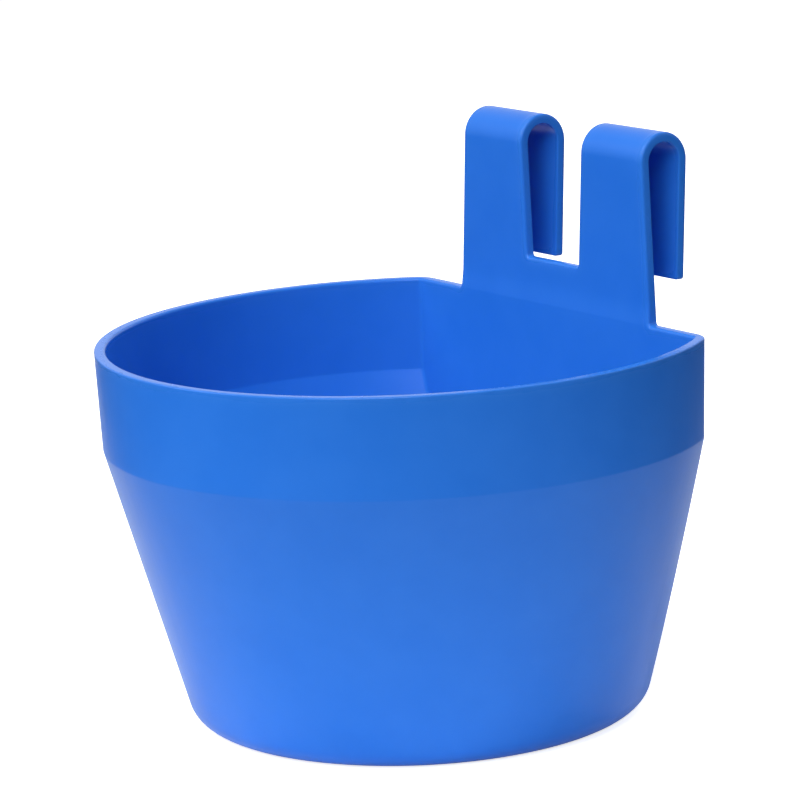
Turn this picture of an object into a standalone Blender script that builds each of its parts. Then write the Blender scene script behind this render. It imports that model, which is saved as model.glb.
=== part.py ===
"""Hanging chicken feeder cup: a tapered bowl with a flat back, and two hook straps that rise from the back.

Metres, +Z up. The origin is on the axis of the round wall, on the underside of the floor. The round front
faces -Y and the flat back faces +Y, so the cup hangs with its hooks over a wire or a rail behind it.
The cup is one moulding. It is modelled as the bowl, the bridge of wall between the straps, and the two
hooks, which meet on a hairline seam along the top of the rim.
"""

import math

import bmesh
import bpy

# Bowl
RIM_RADIUS = 0.0500
CUP_HEIGHT = 0.0623
BAND_HEIGHT = 0.0161  # upright band under the rim, down to the crease
BAND_DRAFT = 0.0005  # how much narrower the band's radius is at the crease
BASE_RADIUS = 0.0370  # where the taper, carried on straight, would meet the table
BASE_FILLET = 0.0045
WALL = 0.00185
BACK_DISTANCE = 0.0316  # axis to the outside of the back wall, at the rim
BACK_LEAN = math.radians(1.7)  # the back wall and the straps lean outwards as they rise
CORNER_RADIUS = 0.0052  # outside corner between the round wall and the back wall
RIM_ROUNDING = 0.0003

# Hooks
HOOK_SPACING = 0.0325  # between the middles of the two straps
HOOK_RISE = 0.0307  # rim to the top of the bends
TIP_DROP = 0.0244  # top of the bends to the free tips
TIP_TOE_IN = math.radians(2.8)  # the free legs close in a little on the straps
BEND_INNER_RADIUS = 0.00305
STRAP_THICKNESS = 0.0016
STRAP_WIDTH_AT_RIM = 0.0193
STRAP_WIDTH_AT_BEND = 0.0162
STRAP_WIDTH_AT_TIP = 0.0153
FOOT_FILLET = 0.0009  # where a strap's outer edge runs into the rim
STRAP_ROUNDING = 0.00025

# Bridge between the straps
BRIDGE_RISE = 0.0074
BRIDGE_FILLET = 0.0009  # where its top edge runs up into the straps
BRIDGE_FILLET_SWEEP = math.radians(60)  # the fillet stops short of upright, so that it ends blunt

# Fit between the pieces
SEAT_GAP = 0.0003

# Facets
FRONT_SEGMENTS = 72
CORNER_SEGMENTS = 6
FILLET_SEGMENTS = 8
TAPER_SEGMENTS = 4
BEND_SEGMENTS = 18
FOOT_SEGMENTS = 3
ROUNDING_SEGMENTS = 2
ROUNDED_ANGLE = math.radians(50)  # edges sharper than this are rounded

# Looks
BLUE = (0.023, 0.160, 0.700, 1.0)
ROUGHNESS = 0.38

CREASE_HEIGHT = CUP_HEIGHT - BAND_HEIGHT
CREASE_RADIUS = RIM_RADIUS - BAND_DRAFT
TAPER = math.atan2(CREASE_RADIUS - BASE_RADIUS, CREASE_HEIGHT)
HOOK_TOP = CUP_HEIGHT + HOOK_RISE
BEND_RADIUS = BEND_INNER_RADIUS + STRAP_THICKNESS
SEAT_HEIGHT = CUP_HEIGHT + SEAT_GAP


def back_face(z):
    """Y of the back wall's outer face, carried on straight, at a height."""
    return BACK_DISTANCE + (z - CUP_HEIGHT) * math.tan(BACK_LEAN)


def fillet_setback(tilt, z):
    """How far the base fillet takes a wall that leans out by tilt in from its straight line, at a height."""
    if z >= BASE_FILLET * (1 - math.sin(tilt)):
        return 0.0
    straight = z * math.tan(tilt)
    centre = BASE_FILLET * (math.tan(tilt) - 1 / math.cos(tilt))
    return straight - centre - math.sqrt(BASE_FILLET**2 - (BASE_FILLET - z) ** 2)


def round_wall_radius(z):
    """Outside radius of the round wall: the band above the crease, the taper below it, then the fillet."""
    if z > CREASE_HEIGHT:
        return CREASE_RADIUS + BAND_DRAFT * (z - CREASE_HEIGHT) / BAND_HEIGHT
    return BASE_RADIUS + z * math.tan(TAPER) - fillet_setback(TAPER, z)


def arc(centre_x, centre_y, radius, start, end, segments):
    """Points along an arc, both ends included."""
    angles = [start + (end - start) * i / segments for i in range(segments + 1)]
    return [(centre_x + radius * math.cos(a), centre_y + radius * math.sin(a)) for a in angles]


def bowl_section(z):
    """Outline of the bowl at a height: a circle cut off by the back wall, its two corners rounded.

    Each corner arc touches the back wall and, from inside, the circle. Anticlockwise seen from above."""
    radius = round_wall_radius(z)
    corner = CORNER_RADIUS - fillet_setback(TAPER, z)
    corner_y = back_face(z) - fillet_setback(BACK_LEAN, z) - corner
    corner_x = math.sqrt((radius - corner) ** 2 - corner_y**2)
    touch = math.atan2(corner_y, corner_x)
    quarter = math.pi / 2
    right = arc(corner_x, corner_y, corner, touch, quarter, CORNER_SEGMENTS)
    left = arc(-corner_x, corner_y, corner, quarter, math.pi - touch, CORNER_SEGMENTS)
    front = arc(0, 0, radius, math.pi - touch, 2 * math.pi + touch, FRONT_SEGMENTS)
    return [(x, y, z) for x, y in right + left + front[1:-1]]


def new_material(name):
    """Blue satin plastic."""
    material = bpy.data.materials.new(name)
    material.use_nodes = True
    material.diffuse_color = BLUE
    shader = material.node_tree.nodes["Principled BSDF"]
    shader.inputs["Base Color"].default_value = BLUE
    shader.inputs["Roughness"].default_value = ROUGHNESS
    shader.inputs["Metallic"].default_value = 0.0
    return material


def sheet_object(name, rows, closed, floor, thickness, rounding):
    """An open surface through rows of points, made a wall with Solidify and rounded along its free edges.

    The faces look to the right of a row's direction when the rows climb, and the wall grows to the other
    side. A closed row is a ring, and floor closes off the first ring."""
    bm = bmesh.new()
    grid = [[bm.verts.new(point) for point in row] for row in rows]
    for lower, upper in zip(grid, grid[1:]):
        for i in range(len(lower) if closed else len(lower) - 1):
            j = (i + 1) % len(lower)
            bm.faces.new((lower[i], lower[j], upper[j], upper[i]))
    if floor:
        bm.faces.new(reversed(grid[0]))
    mesh = bpy.data.meshes.new(name)
    bm.to_mesh(mesh)
    bm.free()
    mesh.shade_smooth()
    mesh.set_sharp_from_angle(angle=ROUNDED_ANGLE)
    mesh.materials.append(new_material(name + "_plastic"))
    piece = bpy.data.objects.new(name, mesh)
    cup.objects.link(piece)

    wall = piece.modifiers.new("Wall", "SOLIDIFY")
    wall.thickness = thickness
    wall.offset = -1
    wall.use_even_offset = True
    wall.use_quality_normals = True
    edges = piece.modifiers.new("Rounded edges", "BEVEL")
    edges.width = rounding
    edges.segments = ROUNDING_SEGMENTS
    edges.limit_method = "ANGLE"
    edges.angle_limit = ROUNDED_ANGLE
    return piece


def make_bowl():
    """The bowl: a loft of sections from the table up the fillet, the taper and the band, closed by its floor."""
    turns = [math.pi / 2 * i / FILLET_SEGMENTS for i in range(FILLET_SEGMENTS + 1)]
    heights = [BASE_FILLET * (1 - math.cos(turn)) for turn in turns]
    climb = (CREASE_HEIGHT - BASE_FILLET) / TAPER_SEGMENTS
    heights += [BASE_FILLET + climb * (i + 1) for i in range(TAPER_SEGMENTS)]
    heights.append(CUP_HEIGHT)
    rows = [bowl_section(z) for z in heights]
    return sheet_object("cup_bowl", rows, True, True, WALL, RIM_ROUNDING)


def strap_front(z):
    """Y of the straps' front face at a height: the straps lie in the middle of the back wall's thickness."""
    depth = (WALL + STRAP_THICKNESS) / 2
    return back_face(z) - depth / math.cos(BACK_LEAN)


# The bend's axis lies one bend radius behind the straps' front face
BEND_Z = HOOK_TOP - BEND_RADIUS
BEND_Y = strap_front(BEND_Z) + BEND_RADIUS / math.cos(BACK_LEAN)
BEND_START_Z = BEND_Z + BEND_RADIUS * math.sin(BACK_LEAN)


def strap_half_width(z):
    """Half the width of the upright strap at a height, which narrows evenly from the rim to the bend."""
    share = (z - CUP_HEIGHT) / (BEND_START_Z - CUP_HEIGHT)
    return (STRAP_WIDTH_AT_RIM + (STRAP_WIDTH_AT_BEND - STRAP_WIDTH_AT_RIM) * share) / 2


def foot_flare(z):
    """How far the foot fillet widens a strap's outer edge at a height."""
    below = FOOT_FILLET - (z - CUP_HEIGHT)
    if below <= 0:
        return 0.0
    return FOOT_FILLET - math.sqrt(FOOT_FILLET**2 - below**2)


def hook_stations():
    """(y, z, half width, flare) along a strap's outer face: up from the rim, over the bend, down to the tip."""
    steps = [i / FOOT_SEGMENTS for i in range(FOOT_SEGMENTS + 1)]
    upright = [SEAT_HEIGHT + (FOOT_FILLET - SEAT_GAP) * step for step in steps]
    stations = [(strap_front(z), z, strap_half_width(z), foot_flare(z)) for z in upright]
    bend = arc(BEND_Y, BEND_Z, BEND_RADIUS, math.pi - BACK_LEAN, -TIP_TOE_IN, BEND_SEGMENTS)
    stations += [(y, z, STRAP_WIDTH_AT_BEND / 2, 0.0) for y, z in bend]
    leg_y, leg_z = bend[-1]
    tip_z = HOOK_TOP - TIP_DROP
    tip_y = leg_y - (leg_z - tip_z) * math.tan(TIP_TOE_IN)
    stations.append((tip_y, tip_z, STRAP_WIDTH_AT_TIP / 2, 0.0))
    return stations


def make_hook(name, side):
    """A hook: one strap that rises from the rim, bends over to the back and ends in a free leg.

    side is +1 for the hook at +X and -1 for the one at -X."""
    middle = side * HOOK_SPACING / 2
    rows = []
    for y, z, half, flare in hook_stations():
        inner = (middle - side * half, y, z)
        outer = (middle + side * (half + flare), y, z)
        rows.append([inner, outer] if side > 0 else [outer, inner])
    return sheet_object(name, rows, False, False, STRAP_THICKNESS, STRAP_ROUNDING)


def bridge_reach(z):
    """Half the width of the room between the two straps at a height, less the gap at each side."""
    return HOOK_SPACING / 2 - strap_half_width(z) - SEAT_GAP


def make_bridge():
    """The part of the back wall that stands above the rim and ties the two straps together.

    Its top edge is straight in the middle and runs up a fillet arc towards each strap."""
    top = CUP_HEIGHT + BRIDGE_RISE
    sweeps = [BRIDGE_FILLET_SWEEP * (1 - i / FOOT_SEGMENTS) for i in range(FOOT_SEGMENTS + 1)]
    run = BRIDGE_FILLET * math.sin(BRIDGE_FILLET_SWEEP)
    left_half = []
    for sweep in sweeps:
        z = top + BRIDGE_FILLET * (1 - math.cos(sweep))
        left_half.append((run - BRIDGE_FILLET * math.sin(sweep) - bridge_reach(z), z))
    outline = left_half + [(-x, z) for x, z in reversed(left_half)]
    upper = [(x, strap_front(z), z) for x, z in outline]
    spread = bridge_reach(SEAT_HEIGHT) / outline[-1][0]
    lower = [(x * spread, strap_front(SEAT_HEIGHT), SEAT_HEIGHT) for x, z in outline]
    return sheet_object("hook_bridge", [lower, upper], False, False, STRAP_THICKNESS, STRAP_ROUNDING)


for leftover in list(bpy.data.objects):
    bpy.data.objects.remove(leftover)
cup = bpy.data.collections.new("Chicken feeder cup")
bpy.context.scene.collection.children.link(cup)

make_bowl()
make_bridge()
make_hook("left_hook", -1)
make_hook("right_hook", 1)
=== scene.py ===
import math

import bmesh
import bpy
import numpy as np
from mathutils import Matrix, Vector


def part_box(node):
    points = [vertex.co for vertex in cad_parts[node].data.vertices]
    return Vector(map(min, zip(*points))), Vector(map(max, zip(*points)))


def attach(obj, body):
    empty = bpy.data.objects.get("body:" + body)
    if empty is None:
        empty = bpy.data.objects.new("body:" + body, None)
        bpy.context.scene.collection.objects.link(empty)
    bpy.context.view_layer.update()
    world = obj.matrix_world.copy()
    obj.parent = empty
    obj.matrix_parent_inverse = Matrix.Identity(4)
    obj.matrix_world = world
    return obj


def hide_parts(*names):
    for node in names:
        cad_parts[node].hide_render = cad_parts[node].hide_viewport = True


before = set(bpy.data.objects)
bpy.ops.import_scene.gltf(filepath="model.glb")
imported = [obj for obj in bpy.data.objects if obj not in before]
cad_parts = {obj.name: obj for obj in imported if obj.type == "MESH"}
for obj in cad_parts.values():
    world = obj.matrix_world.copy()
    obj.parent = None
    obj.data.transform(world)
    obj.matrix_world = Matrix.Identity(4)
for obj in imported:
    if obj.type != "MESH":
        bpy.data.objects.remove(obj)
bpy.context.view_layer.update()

# Sizes that the frame gives, in metres
bowl_low, bowl_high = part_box("cup_bowl")
hook_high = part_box("right_hook")[1]
RIM_RADIUS = -bowl_low.y
CUP_HEIGHT = bowl_high.z
BACK_DISTANCE = bowl_high.y  # axis to the outside of the back wall, at the rim
HOOK_TOP = hook_high.z
HOOK_REAR = hook_high.y

# Sizes of the moulding that a box can't give
MM = 0.001
WALL = 1.85 * MM
BAND_HEIGHT = 16.1 * MM  # upright band under the rim, down to the crease
BAND_DRAFT = 0.5 * MM  # how much narrower the band's radius is at the crease
CREASE_SOFTNESS = 0.022 * MM
BASE_RADIUS = 37.0 * MM
BASE_FILLET = 4.5 * MM
CORNER_RADIUS = 5.2 * MM  # between the round wall and the back wall, outside
INNER_CORNER_RADIUS = 1.3 * MM
LEAST_CORNER_RADIUS = 0.25 * MM
BACK_LEAN = math.radians(1.7)
OUTER_ROUND = 0.25 * MM  # rounding of the free edge outside the bowl and behind the straps
INNER_ROUND = 0.45 * MM  # the same inside the bowl and in front of the straps
HOOK_MIDDLE = 16.25 * MM  # from the cup's middle to a strap's middle
STRAP_THICKNESS = 1.6 * MM
FOOT_BLEND = 3.0 * MM  # length over which the wall thins to the strap
STRAP_WIDTH_AT_RIM = 19.3 * MM
STRAP_WIDTH_AT_BEND = 16.2 * MM
STRAP_WIDTH_AT_TIP = 15.3 * MM
FOOT_FILLET = 0.55 * MM
BRIDGE_RISE = 7.35 * MM  # rim to the bridge's top edge
BRIDGE_FILLET = 0.5 * MM
BEND_INNER_RADIUS = 3.05 * MM
TIP_DROP = 24.4 * MM  # top of the bends to the free tips
TIP_TOE_IN = math.radians(2.8)
TIP_CORNER = 0.50 * MM
EDGE_REACH = 2.6 * MM  # how far from a free edge it is paler: rubbed, and a painted edge highlight

# The moulding gate under the floor: a round dish with a low stub in the middle
GATE_DEPTH = 0.35 * MM
GATE_SURROUND = 6.0 * MM  # radius inside which the floor's rings are circles
DISH_RADIUS = 4.0 * MM
DISH_SLOPE = 0.8 * MM
STUB_RADIUS = 1.1 * MM
STUB_SLOPE = 0.4 * MM
STUB_SHARE = 0.7  # of the dish's depth

# Columns and rows of the surfaces
FRONT_COLUMNS = 240
CORNER_COLUMNS = 10
SIDE_COLUMNS = 6  # of the back wall, beside each strap
STRAP_COLUMNS = 18
BRIDGE_COLUMNS = 12
BASE_STEPS = 12
TAPER_ROWS = 16
CREASE_ROWS = 17
CREASE_ZONE = 1.2 * MM  # how far from the crease its close rows go
BAND_ROWS = 6
RIM_ROWS = 7
RIM_ZONE = 3.0 * MM  # depth over which rows close up to the rim
ROW_DECIMALS = 9  # heights in metres that agree so far are one row
BRIDGE_ROWS = 7
RISE_ROWS = 9
LEG_ROWS = 9
FILLET_STEPS = 6
ROUND_STEPS = 4
BEND_STEPS = 28
FLOOR_RINGS = 8
GATE_RINGS = 24
WELD_DISTANCE = 0.005 * MM
LEAST_EDGE = 0.0005 * MM
POINT_BLOCKS = 60  # points are measured block by block, to save memory

CREASE_HEIGHT = CUP_HEIGHT - BAND_HEIGHT
CREASE_RADIUS = RIM_RADIUS - BAND_DRAFT
TAPER = math.atan2(CREASE_RADIUS - BASE_RADIUS, CREASE_HEIGHT)
BAND_TILT = math.atan2(BAND_DRAFT, BAND_HEIGHT)


def quarter_turn(steps):
    """Angles from 0 to a quarter turn."""
    return np.linspace(0, np.pi / 2, steps + 1)


def unit(vectors):
    """Each vector at length 1."""
    return vectors / np.linalg.norm(vectors, axis=-1, keepdims=True)


def smooth(share):
    """The smooth step 3 s^2 - 2 s^3 of a share s."""
    return share * share * (3 - 2 * share)


def back_face(z):
    """Y of the back wall's outside at heights z: a plane that leans out as it rises."""
    return BACK_DISTANCE + (z - CUP_HEIGHT) * math.tan(BACK_LEAN)


def fillet_setback(z, tilt, inset):
    """How far the base fillet takes a wall in from its straight line at heights z.

    The fillet is a circle that touches the floor and a wall that leans out by tilt. The inside wall, which
    lies inset further in, has the same centre and a smaller radius."""
    radius = BASE_FILLET - inset
    height = np.clip(z - inset, 0, radius * (1 - math.sin(tilt)))
    straight = height * math.tan(tilt) + radius * (1 / math.cos(tilt) - math.tan(tilt))
    return straight - np.sqrt(radius**2 - (radius - height) ** 2)


def wall_radius(z, inset):
    """Radius of the round wall at heights z: the lesser of a cone and of the band, softened where they cross.

    The soft lesser of a and b is half of a + b - sqrt((a - b)^2 + softness^2)."""
    cone = BASE_RADIUS + z * math.tan(TAPER) - inset / math.cos(TAPER)
    band = CREASE_RADIUS + (z - CREASE_HEIGHT) * math.tan(BAND_TILT) - inset / math.cos(BAND_TILT)
    lesser = (cone + band - np.sqrt((cone - band) ** 2 + CREASE_SOFTNESS**2)) / 2
    return lesser - fillet_setback(z, TAPER, inset)


def bowl_heights(inset, rounding):
    """Rows of the wall up to the rim's rounding.

    They are even turns round the base fillet, then steps that close up at the crease and at the rim."""
    rim_line = CUP_HEIGHT - rounding
    fillet = inset + (BASE_FILLET - inset) * (1 - np.cos(quarter_turn(BASE_STEPS)))
    taper = np.linspace(BASE_FILLET, CREASE_HEIGHT - CREASE_ZONE, TAPER_ROWS)
    crease = CREASE_HEIGHT + CREASE_ZONE * np.linspace(-1, 1, CREASE_ROWS)
    band = np.linspace(CREASE_HEIGHT + CREASE_ZONE, rim_line - RIM_ZONE, BAND_ROWS)
    rim = rim_line - RIM_ZONE * np.linspace(1, 0, RIM_ROWS) ** 2
    return np.unique(np.round(np.concatenate([fillet, taper, crease, band, rim]), ROW_DECIMALS))


def bowl_outline(z, inset):
    """The parts of the bowl's outline at heights z: radius, back wall, corner radius and corner centre.

    The outline is a circle cut off by the back wall. A corner circle touches the wall and, from inside, the
    big circle, so its centre is one corner radius from each."""
    z = np.atleast_1d(z)
    radius = wall_radius(z, inset)
    back = back_face(z) - inset / math.cos(BACK_LEAN) - fillet_setback(z, BACK_LEAN, inset)
    corner = np.interp(inset, [0, WALL], [CORNER_RADIUS, INNER_CORNER_RADIUS])
    corner = np.maximum(corner - fillet_setback(z, TAPER, inset), LEAST_CORNER_RADIUS)
    centre_y = back - corner
    centre_x = np.sqrt((radius - corner) ** 2 - centre_y**2)
    return radius, back, corner, centre_x, centre_y


def bowl_wall(z, inset):
    """One side of the bowl's wall as a closed grid: rows are heights, columns run anticlockwise from above.

    The columns are the right corner's arc, the back wall from +X to -X, the left corner's arc, and the
    front arc from left to right. Those of the back wall stand at the same X inside and outside, apart from
    the two that meet the corners."""
    radius, back, corner, centre_x, centre_y = (part[:, None] for part in bowl_outline(z, inset))
    touch = np.arctan2(centre_y, centre_x)
    share = np.linspace(0, 1, CORNER_COLUMNS + 1)
    turn = touch + (np.pi / 2 - touch) * share[:-1]
    right = centre_x + corner * np.cos(turn), centre_y + corner * np.sin(turn)
    left = -right[0][:, ::-1], right[1][:, ::-1]
    flat_x = bowl_outline(z, 0.0)[3][:, None] * back_columns()
    flat_x[:, :1], flat_x[:, -1:] = centre_x, -centre_x
    flat = flat_x, back + 0 * flat_x
    around = np.linspace(0, 1, FRONT_COLUMNS + 1)[1:-1]
    turn = np.pi - touch + (np.pi + 2 * touch) * around
    front = radius * np.cos(turn), radius * np.sin(turn)
    x, y = (np.concatenate(axis, axis=1) for axis in zip(right, flat, left, front))
    return np.stack([x, y, z[:, None] + 0 * x], axis=-1)


# The strap's path in side view, as lengths along its rear face from the height of the rim
BEND_RADIUS = BEND_INNER_RADIUS + STRAP_THICKNESS
BEND_CENTRE = np.array([HOOK_REAR - BEND_RADIUS, HOOK_TOP - BEND_RADIUS])
FOOT = np.array([BACK_DISTANCE, CUP_HEIGHT])
foot_to_bend = BEND_CENTRE - FOOT
reach = math.hypot(*foot_to_bend)
STRAP_LEAN = math.atan2(*foot_to_bend) - math.asin(BEND_INNER_RADIUS / reach)
BEND_START = math.sqrt(reach**2 - BEND_INNER_RADIUS**2)
BEND_END = BEND_START + BEND_INNER_RADIUS * (math.pi - STRAP_LEAN + TIP_TOE_IN)
LEG_TOP = BEND_CENTRE[1] - BEND_INNER_RADIUS * math.sin(TIP_TOE_IN)
STRAP_END = BEND_END + (LEG_TOP - HOOK_TOP + TIP_DROP) / math.cos(TIP_TOE_IN)
BRIDGE_END = BRIDGE_RISE / math.cos(STRAP_LEAN)


def concave(length, radius):
    """Sideways spread of a concave fillet at a length from its flat side.

    It is radius - sqrt(radius^2 - left^2), where left is the length that is left to the fillet's end."""
    left = np.clip(radius - length, 0, radius)
    return radius - np.sqrt(radius**2 - left**2)


def strap_edges(length, rounding):
    """X of the right strap's outer and inner edge, less the rounding, at lengths along the strap.

    The width falls evenly from the rim to the bend and from the bend to the tip. Concave fillets widen it at
    the rim and above the bridge, and round corners narrow it at the tip."""
    stations = [0, BEND_START, BEND_END, STRAP_END]
    widths = [STRAP_WIDTH_AT_RIM, STRAP_WIDTH_AT_BEND, STRAP_WIDTH_AT_BEND, STRAP_WIDTH_AT_TIP]
    half = np.interp(length, stations, widths) / 2 - rounding
    corner = TIP_CORNER - rounding
    past = np.clip(length - STRAP_END + TIP_CORNER, 0, corner)
    half = half - (corner - np.sqrt(corner**2 - past**2))
    outer = HOOK_MIDDLE + half + concave(length + rounding, FOOT_FILLET + rounding)
    inner = HOOK_MIDDLE - half - concave(length + rounding - BRIDGE_END, BRIDGE_FILLET + rounding)
    return outer, inner


def strap_face(length, x, front):
    """The rear or front face of a strap as a grid: x over rows at lengths along the rear face.

    In side view the rear face is a straight rise, an arc round the bend's centre, and a straight leg. The
    front face lies one thickness away along a direction that turns with it."""
    stations = [0, BEND_START, BEND_END]
    turn = np.interp(length, stations, [math.pi, math.pi - STRAP_LEAN, -TIP_TOE_IN])
    facing = np.stack([np.cos(turn), np.sin(turn)], axis=-1)
    rise = FOOT + length[:, None] * [math.sin(STRAP_LEAN), math.cos(STRAP_LEAN)]
    leg = np.clip(length - BEND_END, 0, None)[:, None] * [-math.sin(TIP_TOE_IN), -math.cos(TIP_TOE_IN)]
    bend = BEND_CENTRE + BEND_INNER_RADIUS * facing + leg
    side = np.where(length[:, None] < BEND_START, rise, bend)
    if front:
        side = side + np.interp(length, [0, FOOT_BLEND], [WALL, STRAP_THICKNESS])[:, None] * facing
    return np.stack([x, side[:, :1] + 0 * x, side[:, 1:] + 0 * x], axis=-1)


def strap_columns(length, rounding):
    """X of the right strap's columns, outer edge to inner edge, closer together near the edges."""
    outer, inner = (edge[:, None] for edge in strap_edges(length, rounding))
    share = (1 - np.cos(np.linspace(0, np.pi, STRAP_COLUMNS + 1))) / 2
    return outer + (inner - outer) * share


def hanger_columns(length, rounding):
    """X of every column of the straps and the bridge between them, from +X to -X."""
    right = strap_columns(length, rounding)
    across = np.linspace(1, -1, BRIDGE_COLUMNS + 1)[1:-1]
    return np.concatenate([right, right[:, -1:] * across, -right[:, ::-1]], axis=1)


def back_columns():
    """Columns of the flat back wall, those of the straps' feet among them, as shares of its half width."""
    half = bowl_outline(CUP_HEIGHT - OUTER_ROUND, 0.0)[3][0]
    feet = hanger_columns(np.array([-OUTER_ROUND]), OUTER_ROUND)[0]
    beside = np.linspace(half, feet[0], SIDE_COLUMNS + 1)[:-1]
    return np.concatenate([beside, feet, -beside[::-1]]) / half


def lower_lengths(rounding):
    """Rows of straps and bridge from the rim to the bridge's top: turns of the foot fillet, then steps."""
    fillet = FOOT_FILLET + rounding
    foot = fillet * (1 - np.cos(quarter_turn(FILLET_STEPS))) - rounding
    return np.concatenate([foot, np.linspace(FOOT_FILLET, BRIDGE_END - rounding, BRIDGE_ROWS)[1:]])


def upper_lengths(rounding):
    """Rows of a strap from the bridge's top to its tip: fillet, rise, bend, leg and round corners."""
    fillet = BRIDGE_FILLET + rounding
    corner = TIP_CORNER - rounding
    return np.concatenate(
        [
            BRIDGE_END - rounding + fillet * (1 - np.cos(quarter_turn(FILLET_STEPS))),
            np.linspace(BRIDGE_END + BRIDGE_FILLET, BEND_START, RISE_ROWS)[1:-1],
            np.linspace(BEND_START, BEND_END, BEND_STEPS + 1),
            np.linspace(BEND_END, STRAP_END - TIP_CORNER, LEG_ROWS)[1:-1],
            STRAP_END - TIP_CORNER + corner * np.sin(quarter_turn(FILLET_STEPS)),
        ]
    )


def rounded_edge(outer, inner):
    """The rounding between two faces along their free edge, a closed loop of points on each.

    Across the edge the profile is a quarter circle off the outer face, a flat, and a larger quarter circle
    on to the inner face, which starts that much further from the edge. So the line from loop to loop slants
    by the arcsine of the difference over its length, and turning it back gives the way through the wall."""
    span = inner - outer
    ahead = unit(np.roll(outer, -1, axis=0) - outer)
    along = unit(ahead + np.roll(ahead, 1, axis=0))
    span = span - along * np.sum(span * along, axis=-1, keepdims=True)
    slant = np.arcsin((INNER_ROUND - OUTER_ROUND) / np.linalg.norm(span, axis=-1, keepdims=True))
    across = unit(span)
    over = np.cross(along, across)
    through = across * np.cos(slant) + over * np.sin(slant)
    out = over * np.cos(slant) - across * np.sin(slant)
    turn = quarter_turn(ROUND_STEPS)[:, None, None]
    first = outer + OUTER_ROUND * (out * np.sin(turn) + through * (1 - np.cos(turn)))
    last = inner + INNER_ROUND * (out * np.sin(turn) - through * (1 - np.cos(turn)))
    return np.concatenate([first, last[::-1]]).swapaxes(0, 1)


def floor_disc(ring, gate_depth):
    """A floor inside a ring of points, which blends to circles round a small moulding gate in the middle.

    Rings shrink from the outline to a circle and then to the middle. The dish and its stub rise and fall by
    smooth steps of the distance from the axis."""
    turn = np.arctan2(ring[:, 1], ring[:, 0])
    circle = GATE_SURROUND * np.stack([np.cos(turn), np.sin(turn), 0 * turn], axis=-1)
    circle[:, 2] = ring[:, 2]
    share = np.linspace(0, 1, FLOOR_RINGS)[:, None, None]
    outer = ring + (circle - ring) * share
    shrunk = np.linspace(1, 0, GATE_RINGS + 1)[1:, None, None]
    inner = circle * np.array([1, 1, 0]) * shrunk + circle * np.array([0, 0, 1])
    disc = np.concatenate([outer, inner])
    away = np.hypot(disc[..., 0], disc[..., 1])
    dish = np.clip((DISH_RADIUS - away) / DISH_SLOPE, 0, 1)
    stub = np.clip((STUB_RADIUS - away) / STUB_SLOPE, 0, 1)
    disc[..., 2] += gate_depth * (smooth(dish) - STUB_SHARE * smooth(stub))
    return disc


def grid_faces(rows, columns, closed, flipped):
    """Corner numbers of a grid's quads. A closed grid joins its last column to its first."""
    number = np.arange(rows * columns).reshape(rows, columns)
    after = np.roll(number, -1, axis=1)
    if not closed:
        number, after = number[:, :-1], after[:, :-1]
    quads = np.stack([number[:-1], after[:-1], after[1:], number[1:]], axis=-1).reshape(-1, 4)
    return quads[:, ::-1] if flipped else quads


def stitched_mesh(name, grids):
    """One mesh of several grids, given as (points, closed, flipped), welded where their points meet."""
    points, faces, count = [], [], 0
    for grid, closed, flipped in grids:
        rows, columns = grid.shape[:2]
        points.append(grid.reshape(-1, 3))
        faces.append(count + grid_faces(rows, columns, closed, flipped))
        count += rows * columns
    mesh = bpy.data.meshes.new(name)
    mesh.from_pydata(np.concatenate(points).tolist(), [], np.concatenate(faces).tolist())
    bm = bmesh.new()
    bm.from_mesh(mesh)
    bmesh.ops.remove_doubles(bm, verts=bm.verts, dist=WELD_DISTANCE)
    bmesh.ops.dissolve_degenerate(bm, edges=bm.edges, dist=LEAST_EDGE)
    bm.to_mesh(mesh)
    bm.free()
    mesh.shade_smooth()
    return mesh


def mark_edges(mesh, edge):
    """Point attribute "edge": 1 on the free edge, falling to 0 as a smooth step at EDGE_REACH from it."""
    points = np.empty(len(mesh.vertices) * 3)
    mesh.vertices.foreach_get("co", points)
    blocks = np.array_split(points.reshape(-1, 3), POINT_BLOCKS)
    nearest = [np.linalg.norm(block[:, None] - edge, axis=2).min(axis=1) for block in blocks]
    share = smooth(np.clip(1 - np.concatenate(nearest) / EDGE_REACH, 0, 1))
    mesh.attributes.new("edge", "FLOAT", "POINT").data.foreach_set("value", share)


def mirrored(grid):
    """The grid on the other side of the cup's middle plane, with its columns in the opposite order."""
    return (grid * np.array([-1, 1, 1]))[:, ::-1]


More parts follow.
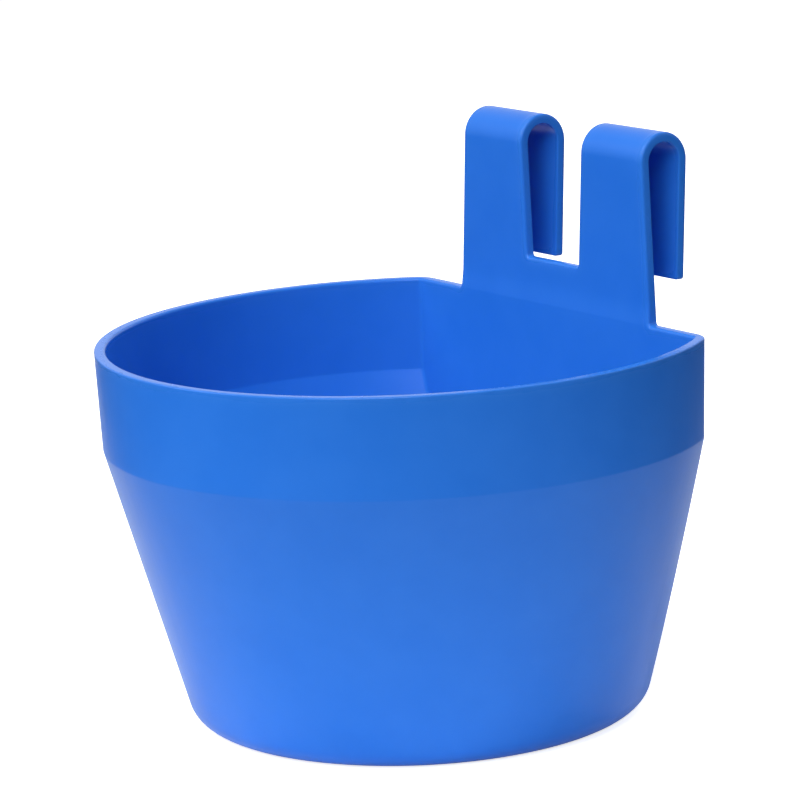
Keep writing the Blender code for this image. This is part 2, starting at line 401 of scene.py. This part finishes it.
def make_cup():
    """The whole moulding as one skin: bowl, straps and bridge on both sides, floor, and rounded free edge."""
    feet = slice(CORNER_COLUMNS + SIDE_COLUMNS, CORNER_COLUMNS + len(back_columns()) - SIDE_COLUMNS)
    bridge = slice(STRAP_COLUMNS, STRAP_COLUMNS + BRIDGE_COLUMNS + 1)
    grids, loops = [], []
    for inset, rounding, gate_depth in ((0.0, OUTER_ROUND, GATE_DEPTH), (WALL, INNER_ROUND, 0.0)):
        inside = inset > 0
        wall = bowl_wall(bowl_heights(inset, rounding), inset)
        low = lower_lengths(rounding)
        base = strap_face(low, hanger_columns(low, rounding), inside)
        base[0] = wall[-1, feet]
        high = upper_lengths(rounding)
        right = strap_face(high, strap_columns(high, rounding), inside)
        left = mirrored(right)
        grids += [
            (wall, True, inside),
            (floor_disc(wall[0], gate_depth), True, not inside),
            (base, False, inside),
            (right, False, inside),
            (left, False, inside),
        ]
        loops.append(
            np.concatenate(
                [
                    wall[-1, feet.stop - 1:],
                    wall[-1, :feet.start + 1],
                    base[1:-1, 0],
                    right[:-1, 0],
                    right[-1, :-1],
                    right[:0:-1, -1],
                    base[-1, bridge],
                    left[1:-1, 0],
                    left[-1, :-1],
                    left[:0:-1, -1],
                    base[-1:0:-1, -1],
                ]
            )
        )
    edge = rounded_edge(*loops)
    grids.append((np.concatenate([edge, edge[:1]]).swapaxes(0, 1), False, False))
    mesh = stitched_mesh("feeder_cup", grids)
    mark_edges(mesh, np.concatenate(loops))
    cup = bpy.data.objects.new("feeder_cup", mesh)
    bpy.context.scene.collection.objects.link(cup)
    return cup


# The camera, with angles in degrees. Azimuths run from the cup's front towards +X
CAMERA_AZIMUTH = 55.93
CAMERA_ELEVATION = 12.04
CAMERA_ROLL = 2.67
CAMERA_DISTANCE = 657.5 * MM
AIM_ASIDE = -1.12 * MM
AIM_HEIGHT = 51.22 * MM
LENS = 182.69
SENSOR = 36
NEAREST_SEEN = 0.05
FURTHEST_SEEN = 50
QUARTER = 90  # of a turn


def towards(azimuth, elevation=0):
    """Unit vector from the cup's axis at an azimuth and an elevation."""
    turn, climb = math.radians(azimuth), math.radians(elevation)
    return Vector((math.sin(turn) * math.cos(climb), -math.cos(turn) * math.cos(climb), math.sin(climb)))


def make_camera():
    """A long lens at the photograph's angle, turned a little about its own axis."""
    back = towards(CAMERA_AZIMUTH, CAMERA_ELEVATION)
    level = towards(CAMERA_AZIMUTH + QUARTER)
    aim = level * AIM_ASIDE + Vector((0, 0, AIM_HEIGHT))
    over = back.cross(level)
    roll = math.radians(CAMERA_ROLL)
    right = level * math.cos(roll) - over * math.sin(roll)
    up = level * math.sin(roll) + over * math.cos(roll)
    data = bpy.data.cameras.new("camera")
    data.lens = LENS
    data.sensor_width = SENSOR
    data.clip_start, data.clip_end = NEAREST_SEEN, FURTHEST_SEEN
    camera = bpy.data.objects.new("camera", data)
    facing = Matrix((right, up, back)).transposed().to_4x4()
    camera.matrix_world = Matrix.Translation(aim + back * CAMERA_DISTANCE) @ facing
    bpy.context.scene.collection.objects.link(camera)
    bpy.context.scene.camera = camera


class Wire:
    """A shader value in a formula. Arithmetic on it adds Math nodes to its tree."""

    def __init__(self, shade, socket):
        self.shade = shade
        self.socket = socket

    def __add__(self, other):
        return self.shade.maths("ADD", self, other)

    def __sub__(self, other):
        return self.shade.maths("SUBTRACT", self, other)

    def __rsub__(self, other):
        return self.shade.maths("SUBTRACT", other, self)

    def __mul__(self, other):
        return self.shade.maths("MULTIPLY", self, other)

    __radd__ = __add__
    __rmul__ = __mul__


class Shade:
    """The nodes of one material or of the world."""

    def __init__(self, owner):
        owner.use_nodes = True
        self.tree = owner.node_tree
        self.tree.nodes.clear()

    def node(self, kind, settings, sockets, output=0):
        """A node of a kind: first its settings, then values or wires on its sockets.

        Gives one of its outputs, if it has any."""
        node = self.tree.nodes.new(kind)
        for name, value in settings.items():
            setattr(node, name, value)
        for name, value in sockets.items():
            if isinstance(value, Wire):
                self.tree.links.new(value.socket, node.inputs[name])
            else:
                node.inputs[name].default_value = value
        return Wire(self, node.outputs[output]) if node.outputs else None

    def ray(self, kind):
        """1 on rays of a kind, or else 0."""
        return self.node("ShaderNodeLightPath", {}, {}, kind)

    def mirrored_rays(self):
        """1 on rays by which a thing is seen in gloss or through glass."""
        return self.ray("Is Glossy Ray") + self.ray("Is Transmission Ray")

    def maths(self, operation, a, b):
        """One operation on two values."""
        return self.node("ShaderNodeMath", {"operation": operation}, {0: a, 1: b})

    def vectors(self, operation, sockets, output="Vector"):
        """One operation on vectors."""
        return self.node("ShaderNodeVectorMath", {"operation": operation}, sockets, output)

    def step(self, value, start, end):
        """0 below start, 1 above end, with a smooth climb between."""
        return self.node(
            "ShaderNodeMapRange",
            {"interpolation_type": "SMOOTHSTEP"},
            {"Value": value, "From Min": start, "From Max": end},
        )

    def mix(self, share, first, second):
        """Colours mixed by a share. On a Mix node they are inputs 6 and 7, and output 2."""
        return self.node("ShaderNodeMix", {"data_type": "RGBA"}, {0: share, 6: first, 7: second}, 2)

    def noise(self, place, size, detail):
        """Soft noise with features of a size, about 0 to 1."""
        sockets = {"Vector": place, "Scale": 1 / size, "Detail": detail, "Roughness": 0.5}
        return self.node("ShaderNodeTexNoise", {}, sockets)


# Colours of the plastic, and its shine
PLASTIC_BLUE = (0.022, 0.175, 0.700, 1)
DEEP_BLUE = (0.018, 0.164, 0.680, 1)
# Paler blue of scuffs and rubbed edges, and of the painted edge highlight
WORN_AND_HIGHLIGHT_BLUE = (0.062, 0.257, 0.720, 1)
SATIN = 0.33
SPECULAR = 0.16

# Sizes of what shows in the plastic
DRIFT_SIZE = 16 * MM
CLOUD_SIZE = 5 * MM
HANDLED_SIZE = 12 * MM
WEAR_SIZE = 3 * MM
DRAG_SIZE = 0.7 * MM
SCUFF_SIZE = 0.45 * MM
GRAIN_SIZE = 0.4 * MM
SINK_SIZE = 22 * MM

# How strongly each shows: where noise counts, and its share in the colour and in the roughness
DRIFT_SHARE = 0.65  # of the tone, with the rest from the smaller clouds
TONE_RANGE = (0.34, 0.66)
HANDLED_RANGE = (0.42, 0.66)
SCUFF_RANGE = (0.69, 0.75)
SCUFF_TURNS = (0.5, 0.2, 0.9), (-0.7, 0.6, 2.1)
SCUFF_STRETCH = (1, 0.035, 1)
DRAG_STRETCH = 0.06  # drag lines are this much slower to change up the wall than round it
EVEN_EDGE_HIGHLIGHT = 0.55  # of the paling on an edge, even all along it as a painted edge highlight, with the rest in patches of rubbing
# How far free edges go towards that paler blue, rubbing and painted edge highlight together
WEAR_AND_HIGHLIGHT_TINT = 0.16
SCUFF_TINT = 0.05
DRIFT_ROUGHNESS = 0.10
DRAG_ROUGHNESS = 0.06
SCUFF_ROUGHNESS = 0.08
WEAR_POLISH = 0.05
MIDDLE = 0.5  # of noise

# Heights in the bump
GRAIN_HEIGHT = 0.0022 * MM
DRAG_HEIGHT = 0.0016 * MM
SCUFF_DEPTH = 0.0008 * MM
SINK_HEIGHT = 0.05 * MM


def scuffs(shade, place, turn):
    """Thin broken lines in one direction, 0 or 1: crests of noise that is drawn out along that direction."""
    sockets = {"Vector": place, "Rotation": turn, "Scale": SCUFF_STRETCH}
    lie = shade.node("ShaderNodeMapping", {}, sockets)
    return shade.step(shade.noise(lie, SCUFF_SIZE, detail=1.0), *SCUFF_RANGE)


def drag_lines(shade, place):
    """Faint lines up the walls: noise on the direction from the axis, with the height drawn out."""
    x, y, z = (shade.node("ShaderNodeSeparateXYZ", {}, {"Vector": place}, axis) for axis in "XYZ")
    outward = shade.vectors("NORMALIZE", {0: shade.node("ShaderNodeCombineXYZ", {}, {"X": x, "Y": y})})
    around = shade.vectors("SCALE", {0: outward, "Scale": RIM_RADIUS})
    up = shade.node("ShaderNodeCombineXYZ", {}, {"Z": z * DRAG_STRETCH})
    return shade.noise(shade.vectors("ADD", {0: around, 1: up}), DRAG_SIZE, detail=1.0)


def cup_plastic():
    """Satin blue polypropylene, as moulded and a little handled.

    The colour drifts softly, as pigment does in the flow of the melt. Faint drag lines run up the walls from
    the pull out of the mould, and fine scuffs cross them. Free edges are paler and smoother, in patches by
    rubbing and all along them by a painted edge highlight. The surface has a fine grain and shallow sinks."""
    material = bpy.data.materials.new("cup_plastic")
    shade = Shade(material)
    place = shade.node("ShaderNodeTexCoord", {}, {}, "Object")
    edge = shade.node("ShaderNodeAttribute", {"attribute_name": "edge"}, {}, "Fac")

    drag = drag_lines(shade, place) * (1 - edge)
    drift = shade.noise(place, DRIFT_SIZE, detail=3.0)
    cloud = shade.noise(place, CLOUD_SIZE, detail=2.0)
    tone = shade.step(drift * DRIFT_SHARE + cloud * (1 - DRIFT_SHARE), *TONE_RANGE)
    handled = shade.step(shade.noise(place, HANDLED_SIZE, detail=2.0), *HANDLED_RANGE) * (1 - edge)
    first, second = (scuffs(shade, place, turn) for turn in SCUFF_TURNS)
    scuff = handled * (first + second)
    # Paler towards free edges: in patches by rubbing, and all along them by a painted edge highlight
    wear_and_edge_highlight = edge * edge * (EVEN_EDGE_HIGHLIGHT + (1 - EVEN_EDGE_HIGHLIGHT) * shade.noise(place, WEAR_SIZE, detail=2.0))

    colour = shade.mix(tone, DEEP_BLUE, PLASTIC_BLUE)
    colour = shade.mix(wear_and_edge_highlight * WEAR_AND_HIGHLIGHT_TINT + scuff * SCUFF_TINT, colour, WORN_AND_HIGHLIGHT_BLUE)
    flow = (drift - MIDDLE) * DRIFT_ROUGHNESS + (drag - MIDDLE) * DRAG_ROUGHNESS
    roughness = SATIN + flow + scuff * SCUFF_ROUGHNESS - wear_and_edge_highlight * WEAR_POLISH

    grain = shade.noise(place, GRAIN_SIZE, detail=1.0)
    sink = shade.noise(place, SINK_SIZE, detail=1.0)
    height = grain * GRAIN_HEIGHT + drag * DRAG_HEIGHT + sink * SINK_HEIGHT - scuff * SCUFF_DEPTH
    bump = shade.node("ShaderNodeBump", {}, {"Height": height, "Distance": 1.0, "Strength": 1.0}, "Normal")
    sockets = {"Base Color": colour, "Roughness": roughness, "Normal": bump, "Specular IOR Level": SPECULAR}
    surface = shade.node("ShaderNodeBsdfPrincipled", {}, sockets)
    shade.node("ShaderNodeOutputMaterial", {}, {"Surface": surface})
    return material


# The stage
PAPER = (0.90, 0.90, 0.90, 1)
TABLE = (0.10, 0.10, 0.10, 1)
BLACK = (0, 0, 0, 1)
WHITE = (1, 1, 1, 1)
FLOOR_SIZE = 12
FLOOR_DROP = 0.1 * MM  # keeps the floor clear of the cup's underside
SHEET_SIDES = (95 * MM, 185 * MM)  # from the cup's axis: where the paper begins to give way, and its end
SHEET_FRONT = (95 * MM, 185 * MM)
CAMERA_GLOW = 1.0
PAPER_DIMMING = 0.19
GLOSS_GLOW = 0.13
ROOM_GLOSS = 1.0
TABLE_LAMP_SIZE = 90 * MM
TABLE_LAMP_DISTANCE = 84 * MM
TABLE_LAMP_HEIGHT = 0.3 * MM


def make_stage():
    """A sheet of white paper on a dark table, under the cup and away from the camera, and a white room.

    The paper gives way to the table by smooth steps of the distance beside the cup and in front of it. Both
    glow white where the camera sees them, the paper less by what the lamps add to it. In gloss the paper
    glows a little and the table doesn't."""
    bpy.ops.mesh.primitive_plane_add(size=FLOOR_SIZE, location=(0, 0, -FLOOR_DROP))
    floor = bpy.context.object
    floor.name = "floor"
    material = bpy.data.materials.new("floor_paper")
    shade = Shade(material)
    place = shade.node("ShaderNodeTexCoord", {}, {}, "Object")
    ahead = shade.vectors("DOT_PRODUCT", {0: place, 1: towards(CAMERA_AZIMUTH)}, "Value")
    beside = shade.vectors("DOT_PRODUCT", {0: place, 1: towards(CAMERA_AZIMUTH + QUARTER)}, "Value")
    width = 1 - shade.step(shade.maths("ABSOLUTE", beside, 0), *SHEET_SIDES)
    sheet = width * (1 - shade.step(ahead, *SHEET_FRONT))
    seen = shade.ray("Is Camera Ray") * (CAMERA_GLOW - sheet * PAPER_DIMMING)
    glow = seen + shade.mirrored_rays() * sheet * GLOSS_GLOW
    surface = shade.node(
        "ShaderNodeBsdfPrincipled",
        {},
        {
            "Base Color": shade.mix(sheet, TABLE, PAPER),
            "Roughness": 1.0,
            "Specular IOR Level": 0.0,
            "Emission Color": shade.mix(glow, BLACK, WHITE),
            "Emission Strength": 1.0,
        },
    )
    shade.node("ShaderNodeOutputMaterial", {}, {"Surface": surface})
    floor.data.materials.append(material)

    world = bpy.data.worlds.new("studio")
    bpy.context.scene.world = world
    shade = Shade(world)
    strength = shade.ray("Is Camera Ray") + shade.mirrored_rays() * ROOM_GLOSS
    room = shade.node("ShaderNodeBackground", {}, {"Color": WHITE, "Strength": strength})
    shade.node("ShaderNodeOutputWorld", {}, {"Surface": room})


def disc_lamp(name, size, brightness):
    """A round soft lamp that the camera doesn't see. Its power is brightness times pi times its area."""
    data = bpy.data.lights.new(name, "AREA")
    data.shape = "DISK"
    data.size = size
    data.energy = brightness * math.pi * math.pi * size * size / 4
    body = bpy.data.objects.new(name, data)
    body.visible_camera = False
    bpy.context.scene.collection.objects.link(body)
    return body


def lamp(name, azimuth, elevation, distance, size, brightness):
    """A lamp that faces the cup's middle."""
    body = disc_lamp(name, size, brightness)
    back = towards(azimuth, elevation)
    body.location = Vector((0, 0, CUP_HEIGHT / 2)) + back * distance
    body.rotation_euler = back.to_track_quat("Z", "Y").to_euler()
    return body


def table_lamp(name, azimuth, brightness):
    """A lamp that lies beside the cup and shines up, as lit paper does."""
    body = disc_lamp(name, TABLE_LAMP_SIZE, brightness)
    body.location = towards(azimuth) * TABLE_LAMP_DISTANCE + Vector((0, 0, TABLE_LAMP_HEIGHT))
    body.rotation_euler = (math.pi, 0, 0)


cup = make_cup()
cup.data.materials.append(cup_plastic())
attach(cup, "root")
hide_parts("cup_bowl", "hook_bridge", "left_hook", "right_hook")
make_camera()
make_stage()
lamp("front", azimuth=40, elevation=36, distance=1.0, size=0.6, brightness=6.7)
lamp("left", azimuth=-34, elevation=36, distance=1.0, size=0.6, brightness=4.55)
lamp("top", azimuth=16, elevation=70, distance=0.8, size=0.5, brightness=5.1)
lamp("right", azimuth=130, elevation=20, distance=1.0, size=0.4, brightness=1.25)
back = lamp("back", azimuth=200, elevation=25, distance=1.0, size=0.6, brightness=5.0)
back.visible_glossy = False
table_lamp("table_left", azimuth=5, brightness=0.27)
table_lamp("table_front", azimuth=65, brightness=0.29)
table_lamp("table_right", azimuth=125, brightness=0.28)
bpy.context.scene.view_settings.view_transform = "Standard"
